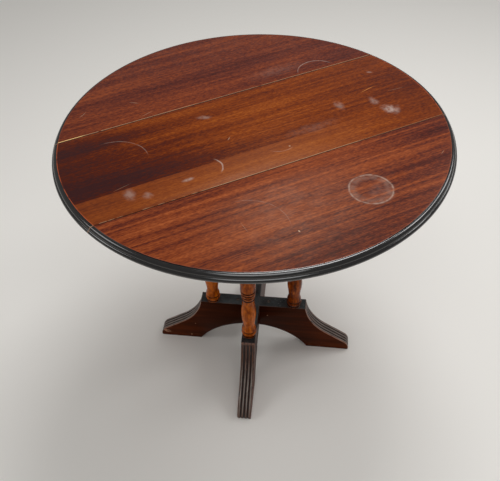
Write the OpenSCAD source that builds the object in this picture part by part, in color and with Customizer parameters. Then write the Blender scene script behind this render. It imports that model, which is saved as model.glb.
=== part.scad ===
// Round drop-leaf table on a four-column pedestal, in millimetres.
// The origin is on the floor under the middle of the top, +Z up, and the two leaf joints run along X.

/* [Top] */
// Height of the top surface above the floor
table_height = 762; // [700:1:820]
// Diameter of the round top
top_diameter = 880; // [820:1:1000]
// Width of the centre board, from joint to joint
centre_width = 294; // [288:1:330]
// Thickness of the three boards and of their moulded edge
board_thickness = 20; // [18:0.5:26]
// Gap between the centre board and each leaf
joint_gap = 0.8; // [0.4:0.1:1.4]
// Width of the moulded rim, seen from above
rim_width = 13; // [12:0.5:18]
// Step from the top surface down to the rim's upper curve
quirk_depth = 1.1; // [0.6:0.1:2]
// Width of the flat strip between the veneer and that step
quirk_width = 0.8; // [0.4:0.1:1.5]
// Height of the flat fillet between the rim's two curves
fillet_height = 0.7; // [0.4:0.1:1.5]
// How far the rim's lower bead stands out past its upper curve
bead_reach = 3.9; // [3:0.1:5]

/* [Foot cross] */
// Turn of the pedestal against the leaf joints, in degrees
pedestal_turn = -31; // [-45:1:45]
// Height of the flat top of the foot cross
foot_height = 170; // [150:1:190]
// Distance from the table's axis to each toe
foot_reach = 280; // [260:1:320]
// Distance from the axis to each heel, where the arch begins
heel_reach = 158; // [140:1:175]
// Distance from the axis to the end of the flat top
foot_flat = 149; // [142:1:155]
// Steepness of the hollow slope where it leaves the flat top, in degrees
hollow_steepness = 82; // [76:1:88]
// Steepness of the straight slope below the hollow, in degrees
slope_steepness = 35; // [32:1:40]
// Radius of the rounded toe
toe_round = 33; // [26:1:38]
// Height of the toe's widest point, and radius of the sole's edge
toe_lift = 4; // [3:0.5:8]
// Height of the arch under the middle of the cross
arch_height = 87; // [70:1:100]
// Thickness of the foot beams and of the head beams
beam_thickness = 37; // [32:1:40]
// Number of grooves cut along each slope
groove_count = 3; // [1:1:4]
// Width of each groove
groove_width = 3.2; // [2:0.1:4]
// Depth of each groove
groove_depth = 1.8; // [1:0.1:2.5]

/* [Columns] */
// Distance of each column from the table's axis
column_reach = 115; // [110:1:118]
// Radius of the plain middle of a column
column_radius = 20; // [18:0.5:22]
// Radius of the ring at each end of a column
end_ring_radius = 20.5; // [19:0.5:23]
// Height of the ring at each end
end_ring_height = 20; // [14:1:22]
// Radius of the two necks of the vase turning
neck_radius = 16; // [13:0.5:17]
// Radius of the vase turning at its fullest
vase_radius = 20; // [18:0.5:22]
// Length of the vase turning, from the end ring to the small rings
vase_length = 130; // [110:1:140]
// Height of each of the three small rings
small_ring_height = 10.5; // [8:0.5:13]
// Radius of the tenon at each end of a column
tenon_radius = 11; // [8:0.5:13]
// Length of each tenon
tenon_length = 25; // [18:1:28]

/* [Head and pivot] */
// Height of the two head beams
head_height = 35; // [32:1:45]
// Distance from the axis to the ends of the head beams
head_reach = 140; // [138:1:143]
// Chamfer on the lower corner of each head beam's end
head_chamfer = 12; // [6:1:16]
// Radius of the round pivot block under the centre board
block_radius = 116; // [108:1:117]
// Thickness of the pivot block and of the battens
block_thickness = 22; // [18:1:28]
// Thickness of the felt pads on the head beams
felt_thickness = 2; // [1:0.5:4]
// Clearance between faces that slide as the top turns
slide_gap = 0.2; // [0.1:0.05:0.4]
// Radius of the pivot bolt
bolt_radius = 5; // [4:0.5:6]
// Running clearance round bolts, pins and rivets
pin_gap = 0.08; // [0.04:0.01:0.1]
// Width of each batten
batten_width = 36; // [28:1:38]
// Distance of each batten from the axis
batten_reach = 268; // [266:1:270]

/* [Leaf hinges] */
// Distance of the outer hinges from the middle one
hinge_spacing = 325; // [318:1:335]
// Length of each hinge along the joint
hinge_length = 50; // [44:1:56]
// Width of each hinge flap, from the joint to its edge
flap_width = 25; // [22:0.5:26]
// Thickness of the hinge flaps
flap_thickness = 1.6; // [1.2:0.1:2]
// Radius of the hinge knuckles
knuckle_radius = 2.8; // [2.5:0.1:3.4]
// Radius of the hinge pins
hinge_pin_radius = 1.2; // [1:0.1:1.5]

/* [Leaf stays] */
// Distance of each stay from the middle of the table
stay_reach = 225; // [222:1:228]
// Distance from the hinge axis to each end pivot of a stay
stay_arm_length = 90; // [86:1:94]
// Angle of those pivots below the hinge axis, in degrees
stay_angle = 12; // [11:0.5:14]
// Thickness of the stay bars and their brackets
bar_thickness = 2; // [1.5:0.1:2.4]
// Width of the stay bars
bar_width = 12; // [11:0.5:13]
// Distance from the inner bar's pivot to its rivet
rivet_reach = 85; // [83:0.5:86]
// Radius of the end pins of the stays
stay_pin_radius = 2.5; // [2:0.1:3]
// Radius of the sliding rivet
rivet_radius = 2; // [1.6:0.1:2.4]

/* [Screws] */
// Radius of the small screws' shanks
screw_radius = 1.6; // [1.2:0.1:2]
// Length of the small screws
screw_length = 13; // [10:0.5:15]
// Radius of the large screws' shanks
long_screw_radius = 2.4; // [2:0.1:3]

/* [Hidden] */
$fn = 64;
cut = 1;
snug = 0.02;
top_radius = top_diameter / 2;
field_radius = top_radius - rim_width;
underside = table_height - board_thickness;
knuckle_ease = 0.2;
hinge_drop = knuckle_radius + knuckle_ease;
hinge_z = underside - hinge_drop;
joint_y = centre_width / 2;
board_edge = joint_y - joint_gap / 2;

block_bottom = underside - block_thickness;
felt_top = block_bottom - slide_gap;
head_top = felt_top - felt_thickness;
head_bottom = head_top - head_height;
column_length = head_bottom - foot_height;

slope_normal = [sin(slope_steepness), cos(slope_steepness)];
hollow_normal = [sin(hollow_steepness), cos(hollow_steepness)];
toe_centre = [foot_reach - toe_round, toe_lift];
hollow_start = [foot_flat, foot_height];
hollow_radius = ((hollow_start - toe_centre) * slope_normal - toe_round)
    / (1 - hollow_normal * slope_normal);
hollow_centre = hollow_start + hollow_radius * hollow_normal;
sole_centre = [foot_reach - toe_lift, toe_lift];
arch_radius = (pow(heel_reach, 2) + pow(arch_height, 2)) / (2 * arch_height);
groove_pitch = beam_thickness / (groove_count + 1);
groove_shoulder = 0.35 * groove_depth;
upper_land = 0.9;
foot_lap_z = (foot_height + arch_height) / 2;
head_lap_z = (head_top + head_bottom) / 2;

lower_neck = 0.17;
upper_neck = 0.885;
flare_step = 0.5;
ring_step = 1;
ring_growth = 1.25;
ring_bulge = 2.2;
plain_quirk = 1.5;

lap_screw_reach = 44;
lap_screw_length = 60;
head_screw_length = 34;
block_screw_length = 34;
block_screw_reach = 50;
block_screws_count = 6;
batten_clearance = 3;
batten_length = 2 * (joint_y - flap_width - batten_clearance);
batten_screw_spacing = batten_length / 3;
felt_length = 32;
felt_margin = 2;
felt_inner = 68;
bolt_head_radius = 2.2 * bolt_radius;
bolt_head_height = 0.9 * bolt_radius;
bolt_head_gap = 0.3;
neck_size = 2 * bolt_radius;
neck_height = 6;
washer_radius = 3 * bolt_radius;
washer_thickness = 2.5;
nut_radius = 1.96 * bolt_radius;
nut_height = 2 * bolt_radius;
bolt_tip = 3;

knuckle_count = 5;
knuckle_length = hinge_length / knuckle_count;
knuckle_gap = 0.3;
flap_start = knuckle_radius + knuckle_gap;
flap_screw_inset = 9;
screw_share = 0.55;
flap_screw_x = hinge_length / 2 - flap_screw_inset;
flap_screw_y = flap_start + (flap_width - flap_start) * screw_share;

stay_y = stay_arm_length * cos(stay_angle);
stay_z = hinge_z - stay_arm_length * sin(stay_angle);
pivot_span = 2 * stay_y;
folded_span = 2 * stay_arm_length * sin(45 - stay_angle);
bar_gap = 0.3;
bar_end = bar_width / 2;
slot_clearance = 0.1;
slot_near = folded_span - rivet_reach - slot_clearance;
slot_spare = 4;
slot_far = pivot_span - rivet_reach + slot_spare;
outer_bar_length = slot_far + rivet_radius + slot_spare;
rivet_head_radius = 1.7 * rivet_radius;
rivet_head_height = 1;
rivet_spare = 0.1;
pin_head_radius = 1.5 * stay_pin_radius;
foot_plate_width = 14;
foot_plate_length = 26;
foot_plate_screw = 8;
web_x = bar_thickness + 1.5 * bar_gap;
plate_screw_x = web_x + bar_thickness + foot_plate_width * screw_share;

screw_head_radius = 2 * screw_radius;
long_head_radius = 2 * long_screw_radius;
slot_width = 0.8;
slot_depth = 0.6;
screw_tip_radius = 0.2;

SIDES = [-1, 1];

// Shared shapes

// Draws its children mirrored to the chosen side along X and along Y
module on_side(x_side, y_side) {
    mirror([x_side < 0 ? 1 : 0, 0, 0]) mirror([0, y_side < 0 ? 1 : 0, 0]) children();
}

// A countersunk wood screw that points up, with the face of its head at z = 0
module screw(shank_radius, head_radius, length) {
    head_height = head_radius - shank_radius;
    difference() {
        union() {
            cylinder(h = head_height, r1 = head_radius, r2 = shank_radius);
            cylinder(h = length - 2 * shank_radius, r = shank_radius);
            translate([0, 0, length - 2 * shank_radius])
                cylinder(h = 2 * shank_radius, r1 = shank_radius, r2 = screw_tip_radius);
        }
        translate([-head_radius, -slot_width / 2, -cut])
            cube([2 * head_radius, slot_width, slot_depth + cut]);
    }
}

// The hole that such a screw fills, a hair wider than the screw
module screw_hole(shank_radius, head_radius, length) {
    translate([0, 0, -cut]) cylinder(h = cut + snug, r = head_radius + snug);
    cylinder(h = length + snug, r = shank_radius + snug);
    cylinder(h = head_radius - shank_radius, r1 = head_radius + snug, r2 = shank_radius + snug);
}

// The small brass screw, and its hole
module small_screw() {
    screw(screw_radius, screw_head_radius, screw_length);
}
module small_screw_hole() {
    screw_hole(screw_radius, screw_head_radius, screw_length);
}

// The foot cross

// What is cut away at one end of a foot beam, an inset deeper: the hollow, the straight slope,
// the rounded toe and the edge of its sole
module slope_cut(inset) {
    translate(hollow_centre) circle(r = hollow_radius + inset, $fn = 160);
    difference() {
        polygon([
            hollow_centre,
            hollow_centre - (hollow_radius + inset) * slope_normal,
            toe_centre + (toe_round - inset) * slope_normal,
            toe_centre,
            [foot_reach + cut, toe_lift],
            [foot_reach + cut, foot_height + cut]
        ]);
        translate(toe_centre) circle(r = toe_round - inset);
    }
    difference() {
        translate(sole_centre - [0, toe_lift + cut]) square([toe_lift + cut, toe_lift + cut]);
        translate(sole_centre) circle(r = toe_lift - inset);
    }
}

// Side outline of one foot beam: two slopes, rounded toes and the arch underneath
module foot_outline() {
    difference() {
        translate([-foot_reach, 0]) square([2 * foot_reach, foot_height]);
        translate([0, arch_height - arch_radius]) circle(r = arch_radius, $fn = 160);
        for (side = SIDES) mirror([side < 0 ? 1 : 0, 0]) slope_cut(0);
    }
}

// One foot beam, with stepped grooves between the reeds of its slopes, and holes for tenons and screws
module foot_beam() {
    difference() {
        rotate([90, 0, 0]) difference() {
            linear_extrude(height = beam_thickness, center = true) foot_outline();
            for (i = [1 : groove_count], side = SIDES)
                translate([0, 0, -beam_thickness / 2 + i * groove_pitch])
                    mirror([side < 0 ? 1 : 0, 0, 0]) {
                        linear_extrude(height = groove_width, center = true) slope_cut(groove_shoulder);
                        linear_extrude(height = groove_width / 2, center = true) slope_cut(groove_depth);
                    }
        }
        for (side = SIDES) {
            translate([side * column_reach, 0, foot_height - tenon_length])
                cylinder(h = tenon_length + cut, r = tenon_radius + pin_gap);
            translate([side * lap_screw_reach, 0, foot_height]) mirror([0, 0, 1])
                screw_hole(long_screw_radius, long_head_radius, lap_screw_length);
        }
    }
}

// A square block that cuts one half of a lap joint, from z = low to z = high
module lap_cut(low, high) {
    translate([-beam_thickness / 2, -beam_thickness / 2 - cut, low])
        cube([beam_thickness, beam_thickness + 2 * cut, high - low]);
}

module foot_beam_lower() {
    color("#2a1710") rotate(pedestal_turn) difference() {
        foot_beam();
        lap_cut(foot_lap_z, foot_height + cut);
    }
}

module foot_beam_upper() {
    color("#2a1710") rotate(pedestal_turn + 90) difference() {
        foot_beam();
        lap_cut(-cut, foot_lap_z);
    }
}

module foot_lap_screws() {
    color("#8a8378") for (i = [0 : 3]) rotate(pedestal_turn + 90 * i)
        translate([lap_screw_reach, 0, foot_height]) mirror([0, 0, 1])
            screw(long_screw_radius, long_head_radius, lap_screw_length);
}

// The columns

// A smooth climb from 0 to 1
function ease(share) = (1 - cos(180 * share)) / 2;

// Outline of the lower half of a column, from its foot to half its height
module half_column_outline() {
    ring_start = end_ring_height + vase_length;
    lower_flare_radius = vase_radius - flare_step;
    lower_flare_height = vase_length * lower_neck - ring_step;
    upper_flare_radius = column_radius - 2 * ring_growth - flare_step;
    steps = 28;
    flare_steps = 7;
    lower_flare = [for (i = [0 : flare_steps - 1]) [
        neck_radius + (lower_flare_radius - neck_radius) * ease(1 - i / flare_steps),
        end_ring_height + ring_step + lower_flare_height * i / flare_steps
    ]];
    vase = [for (i = [0 : steps]) [
        neck_radius + (vase_radius - neck_radius) * ease(2 * i / steps),
        end_ring_height + vase_length * (lower_neck + (upper_neck - lower_neck) * i / steps)
    ]];
    upper_flare = [for (i = [1 : flare_steps]) [
        neck_radius + (upper_flare_radius - neck_radius) * ease(i / flare_steps),
        end_ring_height + vase_length * (upper_neck + (1 - upper_neck) * i / flare_steps)
    ]];
    end_bead = end_ring_height / 2;
    square([end_ring_radius - end_bead, end_ring_height]);
    intersection() {
        translate([end_ring_radius - end_bead, end_bead]) circle(r = end_bead);
        square([end_ring_radius + cut, end_ring_height]);
    }
    polygon(concat(
        [[0, end_bead], [neck_radius, end_bead], [neck_radius, end_ring_height]],
        lower_flare,
        vase,
        upper_flare,
        [[0, ring_start]]
    ));
    ring_curve = (pow(small_ring_height / 2, 2) + pow(ring_bulge, 2)) / (2 * ring_bulge);
    for (i = [0 : 2]) translate([0, ring_start + i * small_ring_height]) intersection() {
        reach = column_radius - (2 - i) * ring_growth;
        square([reach, small_ring_height]);
        translate([reach - ring_curve, small_ring_height / 2]) circle(r = ring_curve);
    }
    plain_start = ring_start + 3 * small_ring_height;
    square([neck_radius - ring_step, plain_start + 2 * plain_quirk]);
    translate([0, plain_start + plain_quirk])
        square([column_radius, column_length / 2 - plain_start - plain_quirk]);
}

module column(place) {
    color("#8c4a26") rotate(pedestal_turn + 90 * place) translate([column_reach, 0, foot_height]) {
        rotate_extrude() half_column_outline();
        translate([0, 0, column_length]) mirror([0, 0, 1]) rotate_extrude() half_column_outline();
        translate([0, 0, -tenon_length]) cylinder(h = tenon_length + cut, r = tenon_radius);
        difference() {
            translate([0, 0, column_length - cut]) cylinder(h = tenon_length + cut, r = tenon_radius);
            translate([0, 0, column_length + head_height]) mirror([0, 0, 1])
                screw_hole(long_screw_radius, long_head_radius, head_screw_length);
        }
    }
}

module column_front() { column(3); }
module column_right() { column(0); }
module column_back() { column(1); }
module column_left() { column(2); }

// The head cross

// Side outline of a head beam, chamfered under its ends
module head_outline() {
    polygon([
        [-head_reach, head_top], [head_reach, head_top],
        [head_reach, head_bottom + head_chamfer], [head_reach - head_chamfer, head_bottom],
        [-head_reach + head_chamfer, head_bottom], [-head_reach, head_bottom + head_chamfer]
    ]);
}

module head_beam() {
    difference() {
        rotate([90, 0, 0]) linear_extrude(height = beam_thickness, center = true) head_outline();
        translate([0, 0, head_bottom - cut])
            cylinder(h = head_height + 2 * cut, r = bolt_radius + pin_gap);
        for (side = SIDES) {
            translate([side * column_reach, 0, head_bottom - cut])
                cylinder(h = tenon_length + cut, r = tenon_radius + pin_gap);
            translate([side * column_reach, 0, head_top]) mirror([0, 0, 1])
                screw_hole(long_screw_radius, long_head_radius, head_screw_length);
        }
    }
}

module head_beam_lower() {
    color("#3a2015") rotate(pedestal_turn) difference() {
        head_beam();
        lap_cut(head_lap_z, head_top + cut);
    }
}

module head_beam_upper() {
    color("#3a2015") rotate(pedestal_turn + 90) difference() {
        head_beam();
        lap_cut(head_bottom - cut, head_lap_z);
    }
}

module head_screws() {
    color("#8a8378") for (i = [0 : 3]) rotate(pedestal_turn + 90 * i)
        translate([column_reach, 0, head_top]) mirror([0, 0, 1])
            screw(long_screw_radius, long_head_radius, head_screw_length);
}

module felt_pads() {
    color("#2f4a35") for (i = [0 : 3]) rotate(pedestal_turn + 90 * i)
        translate([felt_inner, felt_margin - beam_thickness / 2, head_top])
            cube([felt_length, beam_thickness - 2 * felt_margin, felt_thickness]);
}

// The pivot

module pivot_bolt() {
    head_z = underside - bolt_head_height;
    dome_height = bolt_head_height - bolt_head_gap;
    tip_z = head_bottom - slide_gap - washer_thickness - nut_height - bolt_tip;
    color("#9a948a") {
        intersection() {
            translate([0, 0, head_z]) cylinder(h = dome_height, r = bolt_head_radius);
            translate([0, 0, head_z + dome_height - 2 * bolt_head_radius])
                sphere(r = 2 * bolt_head_radius);
        }
        translate([-neck_size / 2, -neck_size / 2, head_z - neck_height])
            cube([neck_size, neck_size, neck_height + cut]);
        translate([0, 0, tip_z]) cylinder(h = head_z - tip_z, r = bolt_radius);
    }
}

module pivot_washer() {
    color("#9a948a") translate([0, 0, head_bottom - slide_gap - washer_thickness]) difference() {
        cylinder(h = washer_thickness, r = washer_radius);
        translate([0, 0, -cut]) cylinder(h = washer_thickness + 2 * cut, r = bolt_radius + pin_gap);
    }
}

module pivot_nut() {
    nut_z = head_bottom - slide_gap - washer_thickness - nut_height;
    color("#9a948a") translate([0, 0, nut_z]) difference() {
        cylinder(h = nut_height, r = nut_radius, $fn = 6);
        translate([0, 0, -cut]) cylinder(h = nut_height + 2 * cut, r = bolt_radius + snug);
    }
}

module pivot_block() {
    head_z = underside - bolt_head_height;
    color("#6b4023") difference() {
        translate([0, 0, block_bottom]) cylinder(h = block_thickness, r = block_radius, $fn = 128);
        translate([0, 0, head_z]) cylinder(h = bolt_head_height + cut, r = bolt_head_radius + snug);
        translate([-neck_size / 2, -neck_size / 2, head_z - neck_height])
            cube([neck_size, neck_size, neck_height + cut]);
        translate([0, 0, block_bottom - cut]) cylinder(h = block_thickness, r = bolt_radius + snug);
        block_screw_places() screw_hole(long_screw_radius, long_head_radius, block_screw_length);
    }
}

// Puts its children at each screw of the pivot block, on the block's lower face
module block_screw_places() {
    for (i = [0 : block_screws_count - 1]) rotate(360 * (i + 0.5) / block_screws_count)
        translate([block_screw_reach, 0, block_bottom]) children();
}

module pivot_block_screws() {
    color("#8a8378") block_screw_places() screw(long_screw_radius, long_head_radius, block_screw_length);
}

// The battens

// Puts its children at each screw of one batten, on the batten's lower face
module batten_screw_places(side) {
    for (i = [-1 : 1]) translate([side * batten_reach, i * batten_screw_spacing, block_bottom]) children();
}

module batten(side) {
    color("#6b4023") difference() {
        translate([side * batten_reach - batten_width / 2, -batten_length / 2, block_bottom])
            cube([batten_width, batten_length, block_thickness]);
        batten_screw_places(side) screw_hole(long_screw_radius, long_head_radius, block_screw_length);
    }
}

module batten_left() { batten(-1); }
module batten_right() { batten(1); }

module batten_screws() {
    color("#8a8378") for (side = SIDES) batten_screw_places(side)
        screw(long_screw_radius, long_head_radius, block_screw_length);
}

// The boards and the moulded rim

// Section of the rim: a quirk, an ovolo, a fillet and a larger bead below
module rim_section() {
    ovolo_radius = rim_width - quirk_width - bead_reach - upper_land;
    ovolo_x = top_radius - bead_reach - ovolo_radius;
    ovolo_z = table_height - quirk_depth - ovolo_radius;
    bead_radius = (ovolo_z - fillet_height - underside) / 2;
    intersection() {
        translate([field_radius, underside]) square([rim_width, board_thickness]);
        union() {
            translate([field_radius, underside]) square([quirk_width, board_thickness]);
            translate([field_radius, underside])
                square([ovolo_x - field_radius, board_thickness - quirk_depth]);
            translate([ovolo_x, ovolo_z]) circle(r = ovolo_radius);
            translate([field_radius, ovolo_z - fillet_height])
                square([rim_width - bead_reach, fillet_height]);
            translate([top_radius - bead_radius, underside + bead_radius]) circle(r = bead_radius);
            translate([field_radius, underside])
                square([rim_width - bead_radius, ovolo_z - fillet_height - underside]);
        }
    }
}

module rim_ring() {
    rotate_extrude($fn = 256) rim_section();
}

// A slab as thick as the boards, over one stretch of the top's width
module strip(y_from, y_to, x_from = -top_radius - cut, x_to = top_radius + cut) {
    translate([x_from, y_from, underside - cut])
        cube([x_to - x_from, y_to - y_from, board_thickness + 2 * cut]);
}

module centre_strip(x_from, x_to) {
    strip(-board_edge, board_edge, x_from, x_to);
}

module leaf_strip(side) {
    mirror([0, side < 0 ? 1 : 0, 0]) strip(joint_y + joint_gap / 2, top_radius + cut);
}

module field_disc() {
    translate([0, 0, underside]) cylinder(h = board_thickness, r = field_radius, $fn = 256);
}

module centre_board() {
    color("#5f2f20") difference() {
        intersection() {
            field_disc();
            centre_strip(-top_radius, top_radius);
        }
        block_screw_places() screw_hole(long_screw_radius, long_head_radius, block_screw_length);
        for (side = SIDES) {
            batten_screw_places(side) screw_hole(long_screw_radius, long_head_radius, block_screw_length);
            flap_screw_places(side, -1) small_screw_hole();
            bracket_screw_places(side, -1) small_screw_hole();
        }
    }
}

module centre_rim(side) {
    color("#1d1512") intersection() {
        rim_ring();
        if (side < 0) centre_strip(-top_radius - cut, 0);
        else centre_strip(0, top_radius + cut);
    }
}

module centre_rim_left() { centre_rim(-1); }
module centre_rim_right() { centre_rim(1); }

module leaf(side) {
    color("#5a2a1e") difference() {
        intersection() {
            field_disc();
            leaf_strip(side);
        }
        flap_screw_places(side, 1) small_screw_hole();
        bracket_screw_places(side, 1) small_screw_hole();
    }
}

module leaf_rim(side) {
    color("#1d1512") intersection() {
        rim_ring();
        leaf_strip(side);
    }
}

module near_leaf() { leaf(-1); }
module far_leaf() { leaf(1); }
module near_leaf_rim() { leaf_rim(-1); }
module far_leaf_rim() { leaf_rim(1); }

// The leaf hinges, drawn for the far joint and mirrored for the near one

// Puts its children at each hinge of one joint, on its axis
module hinge_places(side) {
    on_side(1, side) for (i = [-1 : 1]) translate([i * hinge_spacing, joint_y, hinge_z]) children();
}

// Puts its children at each screw of the flaps: which is -1 for the centre board, 1 for the leaf
module flap_screw_places(side, which) {
    hinge_places(side) for (i = SIDES)
        translate([i * flap_screw_x, which * flap_screw_y, hinge_drop - flap_thickness]) children();
}

// One flap with its own knuckles; the centre board's flaps have the odd ones
module flap(which) {
    first = which < 0 ? 0 : 1;
    difference() {
        union() {
            mirror([0, which < 0 ? 1 : 0, 0])
                translate([-hinge_length / 2, flap_start, hinge_drop - flap_thickness])
                    cube([hinge_length, flap_width - flap_start, flap_thickness]);
            for (i = [first : 2 : knuckle_count - 1])
                translate([-hinge_length / 2 + i * knuckle_length + knuckle_gap / 2, 0, 0]) {
                    rotate([0, 90, 0]) cylinder(h = knuckle_length - knuckle_gap, r = knuckle_radius);
                    mirror([0, which < 0 ? 1 : 0, 0])
                        translate([0, 0, hinge_drop - flap_thickness])
                            cube([knuckle_length - knuckle_gap, flap_start + cut, flap_thickness]);
                }
        }
        translate([-hinge_length / 2 - cut, 0, 0]) rotate([0, 90, 0])
            cylinder(h = hinge_length + 2 * cut, r = hinge_pin_radius + pin_gap);
        for (i = SIDES) translate([i * flap_screw_x, which * flap_screw_y, hinge_drop - flap_thickness])
            small_screw_hole();
    }
}

module flaps(side, which) {
    color("#a98a4c") hinge_places(side) flap(which);
}

module near_centre_flaps() { flaps(-1, -1); }
module far_centre_flaps() { flaps(1, -1); }
module near_leaf_flaps() { flaps(-1, 1); }
module far_leaf_flaps() { flaps(1, 1); }

module hinge_pins(side) {
    color("#a98a4c") hinge_places(side) translate([-hinge_length / 2, 0, 0]) rotate([0, 90, 0])
        cylinder(h = hinge_length, r = hinge_pin_radius);
}

module near_hinge_pins() { hinge_pins(-1); }
module far_hinge_pins() { hinge_pins(1); }

module centre_flap_screws() {
    color("#a98a4c") for (side = SIDES) flap_screw_places(side, -1) small_screw();
}

module near_flap_screws() {
    color("#a98a4c") flap_screw_places(-1, 1) small_screw();
}

module far_flap_screws() {
    color("#a98a4c") flap_screw_places(1, 1) small_screw();
}

// The sliding stays: two bars between a bracket on the centre board and one on the leaf.
// Their plane is x = stay_reach; the inner bar lies on its outer side and the outer bar on its inner side.

// Puts its children at the stay pivot on the centre board, which = -1, or on the leaf, which = 1
module stay_pivot(x_side, y_side, which) {
    on_side(x_side, y_side) translate([stay_reach, joint_y + which * stay_y, stay_z]) children();
}

// Puts its children at the screws of the brackets on one side of the table
module bracket_screw_places(side, which) {
    for (x_side = SIDES) stay_pivot(x_side, side, which) for (i = SIDES)
        translate([
            -which * plate_screw_x,
            i * foot_plate_screw,
            underside - stay_z - bar_thickness
        ]) children();
}

// A bracket bent from strip: a web beside its bar and a plate screwed to the board
module bracket(which) {
    web_height = underside - stay_z;
    mirror([which < 0 ? 0 : 1, 0, 0]) difference() {
        union() {
            translate([web_x, 0, 0]) rotate([0, 90, 0]) cylinder(h = bar_thickness, r = bar_end);
            translate([web_x, -bar_end, 0]) cube([bar_thickness, bar_width, web_height]);
            translate([web_x, -foot_plate_length / 2, web_height - bar_thickness])
                cube([foot_plate_width, foot_plate_length, bar_thickness]);
        }
        translate([web_x - cut, 0, 0]) rotate([0, 90, 0])
            cylinder(h = bar_thickness + 2 * cut, r = stay_pin_radius + snug);
        for (i = SIDES) translate([
            plate_screw_x,
            i * foot_plate_screw,
            web_height - bar_thickness
        ]) small_screw_hole();
    }
}

module brackets(side, which) {
    color("#8f8a80") for (x_side = SIDES) stay_pivot(x_side, side, which) bracket(which);
}

module centre_stay_brackets() {
    for (side = SIDES) brackets(side, -1);
}
module near_stay_brackets() { brackets(-1, 1); }
module far_stay_brackets() { brackets(1, 1); }

// The pin that joins a bar to its bracket, flush at the bar and headed outside the bracket
module stay_pin(which) {
    pin_length = 2 * bar_thickness + bar_gap;
    mirror([which < 0 ? 0 : 1, 0, 0]) {
        translate([bar_gap / 2, 0, 0]) rotate([0, 90, 0]) cylinder(h = pin_length, r = stay_pin_radius);
        translate([bar_gap / 2 + pin_length, 0, 0]) rotate([0, 90, 0])
            cylinder(h = rivet_head_height, r = pin_head_radius);
    }
}

module stay_pins(side, which) {
    color("#8f8a80") for (x_side = SIDES) stay_pivot(x_side, side, which) stay_pin(which);
}

module centre_stay_pins() {
    for (side = SIDES) stay_pins(side, -1);
}
module near_stay_pins() { stay_pins(-1, 1); }
module far_stay_pins() { stay_pins(1, 1); }

module centre_bracket_screws() {
    color("#8f8a80") for (side = SIDES) bracket_screw_places(side, -1) small_screw();
}
module near_bracket_screws() {
    color("#8f8a80") bracket_screw_places(-1, 1) small_screw();
}
module far_bracket_screws() {
    color("#8f8a80") bracket_screw_places(1, 1) small_screw();
}

// A flat bar with round ends, from its pivot at the origin to a length along +Y
module bar(length) {
    rotate([0, 90, 0]) cylinder(h = bar_thickness, r = bar_end);
    translate([0, length - bar_end, 0]) rotate([0, 90, 0]) cylinder(h = bar_thickness, r = bar_end);
    translate([0, 0, -bar_end]) cube([bar_thickness, length - bar_end, bar_width]);
}

// A hole through a bar for a pin along X, at a distance along +Y
module bar_hole(reach, radius) {
    translate([-cut, reach, 0]) rotate([0, 90, 0]) cylinder(h = bar_thickness + 2 * cut, r = radius);
}

module inner_bar(x_side, y_side) {
    color("#9a958a") stay_pivot(x_side, y_side, -1) translate([bar_gap / 2, 0, 0]) difference() {
        bar(rivet_reach + bar_end);
        bar_hole(0, stay_pin_radius + pin_gap);
        bar_hole(rivet_reach, rivet_radius + snug);
    }
}

module outer_bar(x_side, y_side) {
    slot_radius = rivet_radius + slot_clearance;
    color("#9a958a") stay_pivot(x_side, y_side, 1) mirror([0, 1, 0])
        translate([-bar_gap / 2 - bar_thickness, 0, 0]) difference() {
            bar(outer_bar_length);
            bar_hole(0, stay_pin_radius + pin_gap);
            bar_hole(slot_near, slot_radius);
            bar_hole(slot_far, slot_radius);
            translate([-cut, slot_near, -slot_radius])
                cube([bar_thickness + 2 * cut, slot_far - slot_near, 2 * slot_radius]);
        }
}

// The rivet fixed in the inner bar, headed where it slides along the outer bar's slot
module rivet(x_side, y_side) {
    shank = 2 * bar_thickness + bar_gap + rivet_spare;
    color("#b0aa9c") stay_pivot(x_side, y_side, -1)
        translate([bar_gap / 2 + bar_thickness, rivet_reach, 0]) rotate([0, -90, 0]) {
            cylinder(h = shank, r = rivet_radius);
            translate([0, 0, shank]) cylinder(h = rivet_head_height, r = rivet_head_radius);
        }
}

module near_left_inner_bar() { inner_bar(-1, -1); }
module near_left_outer_bar() { outer_bar(-1, -1); }
module near_left_rivet() { rivet(-1, -1); }
module near_right_inner_bar() { inner_bar(1, -1); }
module near_right_outer_bar() { outer_bar(1, -1); }
module near_right_rivet() { rivet(1, -1); }
module far_left_inner_bar() { inner_bar(-1, 1); }
module far_left_outer_bar() { outer_bar(-1, 1); }
module far_left_rivet() { rivet(-1, 1); }
module far_right_inner_bar() { inner_bar(1, 1); }
module far_right_outer_bar() { outer_bar(1, 1); }
module far_right_rivet() { rivet(1, 1); }

foot_beam_lower();
foot_beam_upper();
foot_lap_screws();
column_front();
column_right();
column_back();
column_left();
head_beam_lower();
head_beam_upper();
head_screws();
felt_pads();
pivot_bolt();
pivot_washer();
pivot_nut();
pivot_block();
pivot_block_screws();
batten_left();
batten_right();
batten_screws();
centre_board();
centre_rim_left();
centre_rim_right();
near_centre_flaps();
far_centre_flaps();
near_hinge_pins();
far_hinge_pins();
centre_flap_screws();
centre_stay_brackets();
centre_stay_pins();
centre_bracket_screws();
near_leaf();
near_leaf_rim();
near_leaf_flaps();
near_flap_screws();
near_stay_brackets();
near_stay_pins();
near_bracket_screws();
far_leaf();
far_leaf_rim();
far_leaf_flaps();
far_flap_screws();
far_stay_brackets();
far_stay_pins();
far_bracket_screws();
near_left_inner_bar();
near_left_outer_bar();
near_left_rivet();
near_right_inner_bar();
near_right_outer_bar();
near_right_rivet();
far_left_inner_bar();
far_left_outer_bar();
far_left_rivet();
far_right_inner_bar();
far_right_outer_bar();
far_right_rivet();
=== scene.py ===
import math

import bmesh
import bpy
from mathutils import Matrix, Vector


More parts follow.
